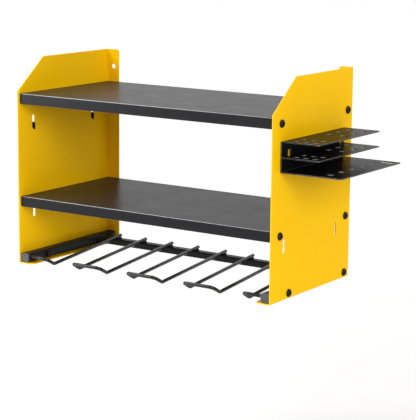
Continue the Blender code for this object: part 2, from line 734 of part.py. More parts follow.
def hook_rail():
    """A flat strip with two tabs in the left panel's slots."""
    corners = [
        Vector((HANGER_BACK, HANGER_FRONT_Y, RAIL_FOOT)),
        Vector((HANGER_BACK, HANGER_REAR_Y, RAIL_FOOT)),
        Vector((HANGER_BACK, HANGER_REAR_Y, RAIL_TOP)),
        Vector((HANGER_BACK, HANGER_FRONT_Y, RAIL_TOP)),
    ]
    outline = []
    for index, corner in enumerate(corners):
        outline += rounded(corners[index - 1], corner, corners[(index + 1) % 4], RAIL_CORNER)
    strip = mesh_of("hook_rail_strip", *prism(outline, X * SHEET))
    rail = add_object("hook_rail_strip", mirror_left(strip), BLACK)
    tabs = mirrored_shapes([hanging_tab(y) for y in SLOT_YS])
    apply_shapes(rail, tabs, "UNION")
    windows = mirrored_shapes([tab_window(y, RAIL_TOP + OVERRUN) for y in SLOT_YS])
    apply_shapes(rail, windows, "DIFFERENCE")


def rail_hooks():
    """Four rods bent to a J and welded to the strip, open upwards."""
    shank_x = -(HANGER_BACK + SHEET + FIT + ROD_RADIUS)
    foot = RAIL_FOOT + HOOK_ABOVE_RAIL_FOOT + ROD_RADIUS
    tip_x = shank_x - HOOK_REACH
    row = HANGER_LENGTH - 2 * HOOK_FROM_RAIL_END
    for index in range(HOOK_COUNT):
        y = HANGER_FRONT_Y + HOOK_FROM_RAIL_END + row * index / (HOOK_COUNT - 1)
        corners = [
            Vector((shank_x, y, RAIL_TOP - HOOK_BELOW_RAIL_TOP)),
            Vector((shank_x, y, foot)),
            Vector((tip_x, y, foot)),
            Vector((tip_x, y, foot + HOOK_TIP_RISE)),
        ]
        rod(f"rail_hook_{index + 1}", corners, ROD_BEND)


def hexagon_radius(across, turn):
    """How far a hexagon of this width across its flats reaches in one direction."""
    sixth = math.pi / 3
    return across / 2 / math.cos((turn + sixth / 2) % sixth - sixth / 2)


def turned(name, profile, sides, closed):
    """A solid turned about +X. Each profile entry is its X, its size and what the size is:
    a hexagon's width across its flats, or else a radius."""
    points = []
    for along, size, is_hexagon in profile:
        for step in range(sides):
            turn = 2 * math.pi * step / sides
            radius = hexagon_radius(size, turn) if is_hexagon else size
            points.append((along, radius * math.cos(turn), radius * math.sin(turn)))
    faces = []
    rings = len(profile)
    for ring in range(rings if closed else rings - 1):
        a, b = ring * sides, (ring + 1) % rings * sides
        for step in range(sides):
            after = (step + 1) % sides
            faces.append((a + step, a + after, b + after, b + step))
    if not closed:
        faces.append(tuple(range(sides - 1, -1, -1)))
        faces.append(tuple(range((rings - 1) * sides, rings * sides)))
    return mesh_of(name, points, faces)


def screw_mesh(name, length):
    """A button head with a hexagon socket, its underside at X = 0 and its shank towards -X."""
    dome = HEAD_HEIGHT - HEAD_RIM
    profile = [
        (-length, SHANK_RADIUS - SHANK_CHAMFER, False),
        (SHANK_CHAMFER - length, SHANK_RADIUS, False),
        (0, SHANK_RADIUS, False),
        (0, HEAD_RADIUS, False),
        (HEAD_RIM, HEAD_RADIUS, False),
    ]
    steps = 3
    for step in range(1, steps + 1):
        turn = math.pi / 2 * step / steps
        radius = HEAD_FLAT_RADIUS + (HEAD_RADIUS - HEAD_FLAT_RADIUS) * math.cos(turn)
        profile.append((HEAD_RIM + dome * math.sin(turn), radius, False))
    profile.append((HEAD_HEIGHT, SOCKET_ACROSS, True))
    profile.append((HEAD_HEIGHT - SOCKET_DEPTH, SOCKET_ACROSS, True))
    return turned(name, profile, SCREW_SIDES, closed=False)


def nut_mesh():
    """A hexagon nut from X = 0 to its height along -X, bored clear of the screw."""
    bore = SHANK_RADIUS + SCREW_CLEARANCE
    chamfered = NUT_ACROSS - NUT_CHAMFER
    profile = [
        (0, bore, False),
        (-NUT_HEIGHT, bore, False),
        (-NUT_HEIGHT, chamfered, True),
        (NUT_CHAMFER - NUT_HEIGHT, NUT_ACROSS, True),
        (-NUT_CHAMFER, NUT_ACROSS, True),
        (0, chamfered, True),
    ]
    return turned("nut", profile, NUT_SIDES, closed=True)


def screws_and_nuts():
    """A screw from outside each panel, and its nut inside the shelf's end or the tube."""
    nut = nut_mesh()
    screws = {}
    for place, y, z, grip in screw_places():
        length = grip + NUT_HEIGHT + THREAD_PAST_NUT
        if length not in screws:
            screws[length] = screw_mesh(f"screw_{len(screws) + 1}", length)
        for side_name, side in (("left", -1), ("right", 1)):
            seat = Vector((side * (PANEL_OUTSIDE + FIT), y, z))
            turn = Matrix.Rotation(0 if side > 0 else math.pi, 4, "Z")
            screw = add_object(f"{side_name}_{place}_screw", screws[length], SCREW_BLACK)
            screw.matrix_world = Matrix.Translation(seat) @ turn
            fixing = add_object(f"{side_name}_{place}_nut", nut, NUT_BLACK)
            inside = Vector((side * (PANEL_OUTSIDE - grip), y, z))
            fixing.matrix_world = Matrix.Translation(inside) @ turn


clear_scene()
side_panel("left_side_panel", -1)
side_panel("right_side_panel", 1)
shelf("middle_shelf", MIDDLE_SHELF_TOP)
shelf("upper_shelf", UPPER_SHELF_TOP)
drill_rack_tubes()
tube_cap("left_tube_cap", -1)
tube_cap("right_tube_cap", 1)
drill_fingers()
tool_rack()
tool_rack_guide()
hook_rail()
rail_hooks()
screws_and_nuts()
finish_shading()
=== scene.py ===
"""A wall mounted organizer for power tools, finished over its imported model, in metres with +Z up.

Two folded yellow panels carry two black shelves and a welded rod rack. A tool rack hangs on the
right panel and a hook rail on the left one. The wall would stand at Y = 0.
"""

import math

import bpy
from mathutils import Matrix, Vector


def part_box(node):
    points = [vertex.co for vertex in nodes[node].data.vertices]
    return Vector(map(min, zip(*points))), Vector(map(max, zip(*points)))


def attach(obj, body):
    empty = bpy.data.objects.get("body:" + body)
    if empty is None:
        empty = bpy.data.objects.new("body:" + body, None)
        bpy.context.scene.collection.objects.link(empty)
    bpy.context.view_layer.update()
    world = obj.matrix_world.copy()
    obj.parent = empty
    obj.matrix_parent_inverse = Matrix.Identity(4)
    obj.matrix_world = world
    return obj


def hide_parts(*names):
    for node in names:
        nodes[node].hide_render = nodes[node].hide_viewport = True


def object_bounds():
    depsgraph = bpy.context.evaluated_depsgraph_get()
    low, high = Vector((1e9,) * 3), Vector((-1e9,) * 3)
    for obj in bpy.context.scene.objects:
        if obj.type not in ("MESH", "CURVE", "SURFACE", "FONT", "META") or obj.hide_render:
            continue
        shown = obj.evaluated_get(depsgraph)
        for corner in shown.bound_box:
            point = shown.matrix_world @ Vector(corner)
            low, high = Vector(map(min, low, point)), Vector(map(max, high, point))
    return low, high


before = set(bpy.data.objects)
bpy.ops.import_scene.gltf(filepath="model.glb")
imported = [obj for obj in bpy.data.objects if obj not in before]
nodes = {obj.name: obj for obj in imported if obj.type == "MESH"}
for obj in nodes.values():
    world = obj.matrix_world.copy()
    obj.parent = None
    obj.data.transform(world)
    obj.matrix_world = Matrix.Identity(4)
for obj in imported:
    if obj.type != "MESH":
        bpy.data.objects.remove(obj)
packed_low, packed_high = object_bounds()

# Side panels. Each is one laser-cut steel sheet, folded inwards along its rear and bottom edges,
# and sprayed and baked in a glossy yellow powder coat that rounds the cut edges a little.
# Screws through the rear flange hold it on the wall.

PANEL_YELLOW = (0.92, 0.52, 0.002)
PANEL_YELLOW_THIN = (0.94, 0.56, 0.004)
PANEL_GLOSS = 0.20
PANEL_SPECULAR = 0.022
PANEL_PEEL = 0.00005
# Paler yellow on the cut edges: partly a thinned, worn coat, partly a painted highlight.
PANEL_EDGE_WORN_AND_HIGHLIT = (0.95, 0.66, 0.06)
PANEL_EDGE_GLOSS = 0.22
PANEL_EDGE_SPECULAR = 0.20
CUT_EDGE_ROUNDING = 0.00032
ROUND_FROM_ANGLE = math.radians(40)
WELD_TOGETHER = 0.00001
BEND_NORMAL = 0.985
BEND_SLOT = 2

COLOUR_CLOUDS = 0.06
COLOUR_FLOW = 0.010
HANDLED_PATCHES = 0.035
ORANGE_PEEL = 0.0016
POWDER_GRAINS = 0.00045
NIB_SPACING = 0.018
NIB_SHARE = 0.014
PEEL_STRENGTH = 0.35
EDGE_STREAKS = 0.004
EDGE_NICKS = 0.0022
EDGE_RELIEF = 0.00004
EDGE_STRENGTH = 0.4


def start_material(name):
    """A new material, its node tree and its Principled shader."""
    material = bpy.data.materials.new(name)
    material.use_nodes = True
    tree = material.node_tree
    return material, tree, tree.nodes["Principled BSDF"]


def surface_place(tree):
    """Where a point lies on the piece, in metres."""
    return tree.nodes.new("ShaderNodeTexCoord").outputs["Object"]


def noise(tree, place, size, detail=2.0, roughness=0.5):
    """Cloudy values from 0 to 1 whose features are about this many metres wide."""
    node = tree.nodes.new("ShaderNodeTexNoise")
    node.inputs["Scale"].default_value = 1 / size
    node.inputs["Detail"].default_value = detail
    node.inputs["Roughness"].default_value = roughness
    tree.links.new(place, node.inputs["Vector"])
    return node.outputs["Fac"]


def remap(tree, value, low, high, to_low, to_high):
    node = tree.nodes.new("ShaderNodeMapRange")
    node.inputs["From Min"].default_value = low
    node.inputs["From Max"].default_value = high
    node.inputs["To Min"].default_value = to_low
    node.inputs["To Max"].default_value = to_high
    tree.links.new(value, node.inputs["Value"])
    return node.outputs["Result"]


def mix_colours(tree, share, first, second):
    """Blends two colours, each an RGB triple or another node's output."""
    node = tree.nodes.new("ShaderNodeMix")
    node.data_type = "RGBA"
    tree.links.new(share, node.inputs["Factor"])
    for socket, colour in ((node.inputs[6], first), (node.inputs[7], second)):
        if isinstance(colour, tuple):
            socket.default_value = (*colour, 1.0)
        else:
            tree.links.new(colour, socket)
    return node.outputs[2]


def combine(tree, operation, first, second):
    """Math on two values, each a number or another node's output."""
    node = tree.nodes.new("ShaderNodeMath")
    node.operation = operation
    for socket, value in zip(node.inputs, (first, second)):
        if isinstance(value, (int, float)):
            socket.default_value = value
        else:
            tree.links.new(value, socket)
    return node.outputs["Value"]


def bump(tree, height, distance, strength):
    node = tree.nodes.new("ShaderNodeBump")
    node.inputs["Strength"].default_value = strength
    node.inputs["Distance"].default_value = distance
    tree.links.new(height, node.inputs["Height"])
    return node.outputs["Normal"]


def powder_coat(name, colour, thin_colour, gloss, specular, peel):
    """Baked powder coat: orange peel, a few nibs of powder, and slightly uneven colour and gloss."""
    material, tree, shader = start_material(name)
    place = surface_place(tree)
    cloud = noise(tree, place, COLOUR_CLOUDS, detail=3.0)
    flow = noise(tree, place, COLOUR_FLOW, detail=2.0)
    uneven = remap(tree, combine(tree, "ADD", cloud, flow), 0.75, 1.3, 0.0, 0.55)
    tree.links.new(mix_colours(tree, uneven, colour, thin_colour), shader.inputs["Base Color"])
    handled = noise(tree, place, HANDLED_PATCHES, detail=5.0, roughness=0.62)
    rough = remap(tree, handled, 0.35, 0.68, gloss - 0.015, gloss + 0.025)
    tree.links.new(rough, shader.inputs["Roughness"])
    shader.inputs["Specular IOR Level"].default_value = specular
    orange_peel = noise(tree, place, ORANGE_PEEL, detail=1.0)
    grains = noise(tree, place, POWDER_GRAINS, detail=1.0)
    nibs = tree.nodes.new("ShaderNodeTexVoronoi")
    nibs.inputs["Scale"].default_value = 1 / NIB_SPACING
    tree.links.new(place, nibs.inputs["Vector"])
    nib = remap(tree, nibs.outputs["Distance"], NIB_SHARE, 0.0, 0.0, 1.0)
    relief = combine(tree, "ADD", orange_peel, combine(tree, "MULTIPLY", grains, 0.25))
    relief = combine(tree, "ADD", relief, nib)
    tree.links.new(bump(tree, relief, peel, PEEL_STRENGTH), shader.inputs["Normal"])
    return material


def worn_and_highlit_edge(name, colour, worn_and_highlit_colour, gloss, specular):
    """The coat on a cut edge: drawn out thinly, rubbed through in a few short nicks, and lighter all
    along as a painted highlight.
    """
    material, tree, shader = start_material(name)
    place = surface_place(tree)
    streaks = noise(tree, place, EDGE_STREAKS, detail=4.0, roughness=0.65)
    # Every edge is mixed towards the lighter colour: partly a thinned coat, partly a painted
    # highlight.
    thinned_and_highlit = remap(tree, streaks, 0.40, 0.62, 0.15, 0.75)
    nicks = remap(tree, noise(tree, place, EDGE_NICKS, detail=3.0), 0.66, 0.70, 0.0, 0.8)
    rubbed = combine(tree, "MAXIMUM", thinned_and_highlit, nicks)
    tree.links.new(mix_colours(tree, rubbed, colour, worn_and_highlit_colour), shader.inputs["Base Color"])
    rough = remap(tree, streaks, 0.35, 0.65, gloss - 0.04, gloss + 0.08)
    tree.links.new(rough, shader.inputs["Roughness"])
    shader.inputs["Specular IOR Level"].default_value = specular
    tree.links.new(bump(tree, streaks, EDGE_RELIEF, EDGE_STRENGTH), shader.inputs["Normal"])
    return material


def geometry_nodes(name):
    """An empty node group that takes a shape in and gives one out."""
    group = bpy.data.node_groups.new(name, "GeometryNodeTree")
    group.interface.new_socket("Geometry", in_out="INPUT", socket_type="NodeSocketGeometry")
    group.interface.new_socket("Geometry", in_out="OUTPUT", socket_type="NodeSocketGeometry")
    return group


def smooth_everywhere():
    """Nodes that shade every face and edge smooth. The rounded edges then carry the highlights."""
    group = bpy.data.node_groups.get("smooth_everywhere")
    if group:
        return group
    group = geometry_nodes("smooth_everywhere")
    last = group.nodes.new("NodeGroupInput").outputs[0]
    for domain in ("EDGE", "FACE"):
        shade = group.nodes.new("GeometryNodeSetShadeSmooth")
        shade.domain = domain
        shade.inputs["Shade Smooth"].default_value = True
        group.links.new(last, shade.inputs["Geometry"])
        last = shade.outputs["Geometry"]
    group.links.new(last, group.nodes.new("NodeGroupOutput").inputs[0])
    return group


def bend_coat():
    """Nodes that give the third coat, a lighter painted highlight, to each bend: to faces that lie
    square to no axis.
    """
    group = bpy.data.node_groups.get("bend_coat")
    if group:
        return group
    group = geometry_nodes("bend_coat")
    parts = group.nodes.new("ShaderNodeSeparateXYZ")
    group.links.new(group.nodes.new("GeometryNodeInputNormal").outputs[0], parts.inputs[0])
    squarest = None
    for axis in parts.outputs:
        size = group.nodes.new("ShaderNodeMath")
        size.operation = "ABSOLUTE"
        group.links.new(axis, size.inputs[0])
        if squarest:
            larger = group.nodes.new("ShaderNodeMath")
            larger.operation = "MAXIMUM"
            group.links.new(squarest, larger.inputs[0])
            group.links.new(size.outputs[0], larger.inputs[1])
            squarest = larger.outputs[0]
        else:
            squarest = size.outputs[0]
    bent = group.nodes.new("ShaderNodeMath")
    bent.operation = "LESS_THAN"
    bent.inputs[1].default_value = BEND_NORMAL
    group.links.new(squarest, bent.inputs[0])
    choose = group.nodes.new("GeometryNodeSetMaterialIndex")
    choose.inputs["Material Index"].default_value = BEND_SLOT
    group.links.new(group.nodes.new("NodeGroupInput").outputs[0], choose.inputs["Geometry"])
    group.links.new(bent.outputs[0], choose.inputs["Selection"])
    group.links.new(choose.outputs["Geometry"], group.nodes.new("NodeGroupOutput").inputs[0])
    return group


def dress_sheet(node, coat, edge, rounding=CUT_EDGE_ROUNDING, bends=None):
    """Rounds the cut edges of a packed sheet and coats its faces, cut edges and bends."""
    node.data.materials[0] = coat
    node.data.materials.append(edge)
    weld = node.modifiers.new("Weld", "WELD")
    weld.merge_threshold = WELD_TOGETHER
    if bends:
        node.data.materials.append(bends)
        node.modifiers.new("Bends", "NODES").node_group = bend_coat()
    bevel = node.modifiers.new("Rounded edges", "BEVEL")
    bevel.width = rounding
    bevel.segments = 2
    bevel.limit_method = "ANGLE"
    bevel.angle_limit = ROUND_FROM_ANGLE
    bevel.use_clamp_overlap = False
    bevel.material = 1
    node.modifiers.new("Smooth", "NODES").node_group = smooth_everywhere()
    flats = node.modifiers.new("Flats", "WEIGHTED_NORMAL")
    flats.keep_sharp = False


yellow_coat = powder_coat(
    "yellow_coat", PANEL_YELLOW, PANEL_YELLOW_THIN, PANEL_GLOSS, PANEL_SPECULAR, PANEL_PEEL
)
yellow_edge = worn_and_highlit_edge(
    "yellow_edge", PANEL_YELLOW_THIN, PANEL_EDGE_WORN_AND_HIGHLIT, PANEL_EDGE_GLOSS, PANEL_EDGE_SPECULAR
)
for name in ("left_side_panel", "right_side_panel"):
    dress_sheet(nodes[name], yellow_coat, yellow_edge)

# Shelves. Each is a steel sheet with its four edges folded down, coated in satin black and
# screwed to the panels through its folded ends. The folds in front catch the light as a narrow line,
# which a lighter, glossier coat on the bends brightens as a painted highlight.

SHELF_BLACK = (0.0165, 0.0165, 0.018)
SHELF_BLACK_THIN = (0.020, 0.020, 0.0215)
SHELF_GLOSS = 0.31
SHELF_SPECULAR = 0.055
SHELF_PEEL = 0.00003
# Grey on the black cut edges: partly bare steel where the coat wears, partly a painted highlight.
SHELF_EDGE_WORN_AND_HIGHLIT = (0.16, 0.16, 0.165)
SHELF_EDGE_SPECULAR = 0.55
# A lighter, glossier black for the bends of shelves and rack: a painted highlight along each fold.
BEND_HIGHLIGHT_BLACK = (0.030, 0.030, 0.032)
BEND_HIGHLIGHT_BLACK_THIN = (0.05, 0.05, 0.052)
BEND_SPECULAR = 0.90
BEND_PEEL = 0.00004
SATIN_GLOSS = 0.30

black_coat = powder_coat(
    "black_coat", SHELF_BLACK, SHELF_BLACK_THIN, SHELF_GLOSS, SHELF_SPECULAR, SHELF_PEEL
)
black_edge = worn_and_highlit_edge(
    "black_edge", SHELF_BLACK_THIN, SHELF_EDGE_WORN_AND_HIGHLIT, SATIN_GLOSS, SHELF_EDGE_SPECULAR
)
black_bend_highlight = powder_coat(
    "black_bend_highlight", BEND_HIGHLIGHT_BLACK, BEND_HIGHLIGHT_BLACK_THIN, SATIN_GLOSS, BEND_SPECULAR, BEND_PEEL
)
for name in ("middle_shelf", "upper_shelf"):
    dress_sheet(nodes[name], black_coat, black_edge, bends=black_bend_highlight)

# Tubes of the rod rack. Two square steel tubes lie on the panels' bottom flanges and a lower one
# joins them at the rear. They are saw cut, welded at the corners and coated in the same black.

TUBE_EDGE_ROUNDING = 0.00018

for name in ("left_rack_tube", "right_rack_tube", "rear_rack_tube"):
    dress_sheet(nodes[name], black_coat, black_edge, rounding=TUBE_EDGE_ROUNDING)

# Tube caps. A moulded plug of black polyethylene is pushed into each side tube's front end. Its
# mould leaves it finely grained, and dull beside the coated steel.

CAP_BLACK = (0.045, 0.046, 0.049)
CAP_GREY = (0.070, 0.071, 0.075)
CAP_EDGE_ROUNDING = 0.00015
CAP_CLOUDS = 0.004
CAP_PATCHES = 0.0015
CAP_GRAIN = 0.0003
CAP_GRAIN_DEPTH = 0.00003

cap_plastic, tree, shader = start_material("cap_plastic")
place = surface_place(tree)
shade = remap(tree, noise(tree, place, CAP_CLOUDS, detail=3.0), 0.3, 0.7, 0.0, 1.0)
tree.links.new(mix_colours(tree, shade, CAP_BLACK, CAP_GREY), shader.inputs["Base Color"])
rough = remap(tree, noise(tree, place, CAP_PATCHES), 0.3, 0.7, 0.42, 0.60)
tree.links.new(rough, shader.inputs["Roughness"])
relief = noise(tree, place, CAP_GRAIN, detail=2.0)
tree.links.new(bump(tree, relief, CAP_GRAIN_DEPTH, 0.5), shader.inputs["Normal"])
for name in ("left_tube_cap", "right_tube_cap"):
    dress_sheet(nodes[name], cap_plastic, cap_plastic, rounding=CAP_EDGE_ROUNDING)

# Fingers. Each is a 5 mm steel rod bent to a U with its nose kicked up, so that nothing hung on
# it slides off. The legs lie on the rear tube and are welded there on both sides of the rod. The
# half finger beside each panel is welded to the side tube.

ROD_RADIUS = 0.0025
ROD_BEND = 0.007
FINGER_PITCH = 0.0965
FINGER_WIDTH = 0.0490
FINGER_BEND = Vector((0.0, -0.1895, 0.0005))
FINGER_NOSE = Vector((0.0, -0.2070, 0.0100))
TUBE_INSIDE = 0.1992
TUBE_WIDTH = 0.014
REAR_TUBE_Y = -0.034
REAR_TUBE_FOOT = 0.0018
REAR_TUBE_TOP = 0.0118
FIT = 0.0003
ROD_END_EASED = 0.0005
ROD_SIDES = 20
BEAD_STEP = 0.0003
BEAD_RIPPLE = 0.0011
BEAD_SIDES = 10
LEG_BEAD_RADIUS = 0.00125
LEG_BEAD_ASIDE = 0.0021
LEG_BEAD_FRONT = 0.0052
LEG_BEAD_REAR = 0.0050
LEG_BEAD_FRONT_RISE = 0.0004
LEG_BEAD_REAR_RISE = 0.0009
BUTT_BEAD_RADIUS = 0.0010
BUTT_BEAD_OUT = 0.0002
BUTT_BEAD_FROM_TUBE = 0.0004
BUTT_BEAD_STEPS = 24
ROD_BLACK = (0.005, 0.005, 0.006)
ROD_BLACK_THIN = (0.009, 0.009, 0.010)
ROD_SPECULAR = 0.32


def along_bends(corners, bend, steps=10):
    """The points of a line that turns through these corners on arcs of this radius."""
    path = [corners[0]]
    for before, corner, after in zip(corners, corners[1:], corners[2:]):
        towards = (before - corner).normalized()
        onwards = (after - corner).normalized()
        half = towards.angle(onwards) / 2
        centre = corner + (towards + onwards).normalized() * bend / math.sin(half)
        start = corner + towards * bend / math.tan(half) - centre
        end = corner + onwards * bend / math.tan(half) - centre
        path += [centre + start.slerp(end, step / steps) * bend for step in range(steps + 1)]
    path.append(corners[-1])
    return path


def sweep(points, faces, path, radii, sides, closed=False):
    """Adds a round skin about a path, whose radius changes from point to point."""
    first = len(points)
    count = len(path)
    side_way = None
    for index, centre in enumerate(path):
        ahead = path[(index + 1) % count] if closed or index + 1 < count else centre
        behind = path[index - 1] if closed or index else centre
        forwards = (ahead - behind).normalized()
        if side_way is None:
            side_way = forwards.orthogonal()
        side_way = (side_way - forwards * side_way.dot(forwards)).normalized()
        up_way = forwards.cross(side_way)
        for side in range(sides):
            turn = 2 * math.pi * side / sides
            out = side_way * math.cos(turn) + up_way * math.sin(turn)
            points.append(centre + out * radii[index])
    for ring in range(count if closed else count - 1):
        a, b = first + ring * sides, first + (ring + 1) % count * sides
        for side in range(sides):
            after = (side + 1) % sides
            faces.append((a + side, a + after, b + after, b + side))
    if not closed:
        faces.append(tuple(first + side for side in reversed(range(sides))))
        faces.append(tuple(first + (count - 1) * sides + side for side in range(sides)))


def bent_rod(points, faces, corners):
    """Adds a rod through these corners, its saw-cut ends eased with a file."""
    path = along_bends(corners, ROD_BEND)
    start = path[0] + (path[1] - path[0]).normalized() * ROD_END_EASED
    end = path[-1] + (path[-2] - path[-1]).normalized() * ROD_END_EASED
    path = [path[0], start] + path[1:-1] + [end, path[-1]]
    radii = [ROD_RADIUS] * len(path)
    radii[0] = radii[-1] = ROD_RADIUS - ROD_END_EASED
    sweep(points, faces, path, radii, ROD_SIDES)


def weld_bead(points, faces, path, radius, seed, closed=False):
    """Adds a weld: a thin lumpy roll with a ripple for each step of the torch."""
    fine = []
    ends = path[1:] + path[:1] if closed else path[1:]
    for a, b in zip(path, ends):
        pieces = max(1, round((b - a).length / BEAD_STEP))
        fine += [a.lerp(b, piece / pieces) for piece in range(pieces)]
    if not closed:
        fine.append(path[-1])
    radii = []
    for index in range(len(fine)):
        ripple = 0.10 * math.sin(index * BEAD_STEP / BEAD_RIPPLE * 2 * math.pi)
        wander = 0.09 * math.sin(index * 0.31 + seed * 1.7) + 0.06 * math.sin(index * 0.83 + seed)
        from_end = 1.0 if closed else min(index, len(fine) - 1 - index) * BEAD_STEP / radius
        taper = math.sqrt(min(1.0, 0.12 + from_end))
        radii.append(radius * (1 + ripple + wander) * taper)
    sweep(points, faces, fine, radii, BEAD_SIDES, closed)


def add_piece(name, points, faces, material, slot, body, *stands_for, hard_edges=50):
    """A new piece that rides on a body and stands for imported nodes."""
    mesh = bpy.data.meshes.new(name)
    mesh.from_pydata([tuple(point) for point in points], [], faces)
    mesh.validate()
    mesh.materials.append(material)
    mesh.shade_smooth()
    mesh.set_sharp_from_angle(angle=math.radians(hard_edges))
    piece = bpy.data.objects.new(name, mesh)
    bpy.context.scene.collection.objects.link(piece)
    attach(piece, body)
    if stands_for:
        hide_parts(*stands_for)
    return piece


def rod_coat():
    """Black coat on drawn rod: fuller gloss, faintly uneven colour and roughness, and a fine relief.
    """
    material, tree, shader = start_material("rod_coat")
    place = surface_place(tree)
    uneven = remap(tree, noise(tree, place, 0.02, detail=4.0), 0.35, 0.65, 0.0, 1.0)
    colour = mix_colours(tree, uneven, ROD_BLACK, ROD_BLACK_THIN)
    tree.links.new(colour, shader.inputs["Base Color"])
    rough = remap(tree, noise(tree, place, 0.008, detail=4.0), 0.3, 0.7, 0.20, 0.32)
    tree.links.new(rough, shader.inputs["Roughness"])
    shader.inputs["Specular IOR Level"].default_value = ROD_SPECULAR
    relief = noise(tree, place, 0.0012, detail=2.0)
    tree.links.new(bump(tree, relief, 0.00006, 0.35), shader.inputs["Normal"])
    return material


def finger_leg(x):
    """A leg's corners from its rear end on the tube, through the bend, to the raised nose."""
    rest = Vector((x, REAR_TUBE_Y - TUBE_WIDTH / 2, REAR_TUBE_TOP + FIT + ROD_RADIUS))
    bend = FINGER_BEND + Vector((x, 0, 0))
    slope = (rest - bend) / (rest.y - bend.y)
    return [rest + slope * TUBE_WIDTH, bend, FINGER_NOSE + Vector((x, 0, 0))]


def leg_welds(points, faces, x, seed):
    """A bead along each side of a leg, in the groove between the rod and the tube's top."""
    for number, side in enumerate((-1, 1)):
        aside = x + side * LEG_BEAD_ASIDE
        front = Vector((aside, REAR_TUBE_Y - LEG_BEAD_FRONT, REAR_TUBE_TOP + LEG_BEAD_FRONT_RISE))
        rear = Vector((aside, REAR_TUBE_Y + LEG_BEAD_REAR, REAR_TUBE_TOP + LEG_BEAD_REAR_RISE))
        weld_bead(points, faces, [front, rear], LEG_BEAD_RADIUS, seed + number)


black_rod = rod_coat()
half_finger = FINGER_WIDTH / 2
for number in range(1, 6):
    points, faces = [], []
    middle = (number - 3) * FINGER_PITCH
    if 1 < number < 5:
        legs = (middle - half_finger, middle + half_finger)
        bent_rod(points, faces, finger_leg(legs[0]) + finger_leg(legs[1])[::-1])
    else:
        side = math.copysign(1, middle)
        legs = (middle - side * half_finger,)
        butt = FINGER_NOSE + Vector((side * (TUBE_INSIDE - FIT), 0, 0))
        bent_rod(points, faces, finger_leg(legs[0]) + [butt])
        ring = []
        for step in range(BUTT_BEAD_STEPS):
            turn = 2 * math.pi * step / BUTT_BEAD_STEPS
            out = Vector((0, math.cos(turn), math.sin(turn))) * (ROD_RADIUS + BUTT_BEAD_OUT)
            ring.append(butt - Vector((side * BUTT_BEAD_FROM_TUBE, 0, 0)) + out)
        weld_bead(points, faces, ring, BUTT_BEAD_RADIUS, number, closed=True)
    for x in legs:
        leg_welds(points, faces, x, number + x)
    packed = f"drill_finger_{number}"
    add_piece(f"finger_{number}", points, faces, black_rod, "black_rod_coat", "organizer", packed)

# Corner welds. The rear tube is welded all round where its ends meet the two side tubes, with one
# bead of steel that is coated together with them.

CORNER_BEAD_RADIUS = 0.0011
CORNER_BEAD_INSET = 0.0003
CORNER_BEAD_FROM_TUBE = 0.0004
TUBE_CORNER = 0.002

points, faces = [], []
half_width = TUBE_WIDTH / 2 - CORNER_BEAD_INSET
half_height = (REAR_TUBE_TOP - REAR_TUBE_FOOT) / 2 - CORNER_BEAD_INSET
middle_z = (REAR_TUBE_TOP + REAR_TUBE_FOOT) / 2
for side in (-1, 1):
    ring = []
    for y, z in ((-1, -1), (1, -1), (1, 1), (-1, 1)):
        start = math.degrees(math.atan2(z, y)) - 45
        for turn in (0, 30, 60, 90):
            angle = math.radians(start + turn)
            corner_y = REAR_TUBE_Y + y * (half_width - TUBE_CORNER) + TUBE_CORNER * math.cos(angle)
            corner_z = middle_z + z * (half_height - TUBE_CORNER) + TUBE_CORNER * math.sin(angle)
            bead_x = side * (TUBE_INSIDE - CORNER_BEAD_FROM_TUBE)
            ring.append(Vector((bead_x, corner_y, corner_z)))
    weld_bead(points, faces, ring, CORNER_BEAD_RADIUS, side, closed=True)
add_piece("corner_welds", points, faces, black_rod, "black_rod_coat", "organizer")

# Tool rack. A folded channel of steel sheet, with its guide plate welded in, hangs by two tabs in
# the right panel's slots. Its coat is a black darker than the shelves' as painted shade, and its
# cut edges are far lighter, mostly as a painted highlight. Small holes go through the top and the
# plate, and larger ones through the deep tray.

# Darker than the shelves' black: painted shade inside the rack.
RACK_SHADE_BLACK = (0.005, 0.005, 0.0055)
RACK_SHADE_BLACK_THIN = (0.007, 0.007, 0.0075)
RACK_GLOSS = 0.28
RACK_SPECULAR = 0.020
# Cut edges far lighter than the rack's coat: mostly a painted highlight, partly wear.
RACK_EDGE_HIGHLIT_BLACK = (0.05, 0.05, 0.052)
RACK_EDGE_WORN_AND_HIGHLIT = (0.30, 0.30, 0.31)
RACK_EDGE_SPECULAR = 0.80
RACK_EDGE_ROUNDING = 0.00028

rack_shade_coat = powder_coat(
    "rack_shade_coat", RACK_SHADE_BLACK, RACK_SHADE_BLACK_THIN, RACK_GLOSS, RACK_SPECULAR, SHELF_PEEL
)
rack_edge_highlight = worn_and_highlit_edge(
    "rack_edge_highlight", RACK_EDGE_HIGHLIT_BLACK, RACK_EDGE_WORN_AND_HIGHLIT, SATIN_GLOSS, RACK_EDGE_SPECULAR
)
for name in ("tool_rack_frame", "tool_rack_guide"):
    dress_sheet(nodes[name], rack_shade_coat, rack_edge_highlight, rounding=RACK_EDGE_ROUNDING, bends=black_bend_highlight)

# Hook rail. A flat strip of the same coated sheet hangs by two tabs in the left panel's slots, and
# four steel rods bent to a J are welded to its face.

HANGER_BACK = 0.2153
SHEET = 0.0015
RAIL_TOP = 0.2043
RAIL_FOOT = 0.1643
HOOK_REACH = 0.030
HOOK_TIP_RISE = 0.014
HOOK_MIDDLE_Y = -0.110
HOOK_SPREAD = 0.092
HOOK_COUNT = 4
HOOK_ABOVE_RAIL_FOOT = 0.002
HOOK_BELOW_RAIL_TOP = 0.006
HOOK_BEAD_RADIUS = 0.0012
HOOK_BEAD_ASIDE = 0.0020
HOOK_BEAD_FOOT_DROP = 0.018
HOOK_BEAD_TOP_DROP = 0.0075

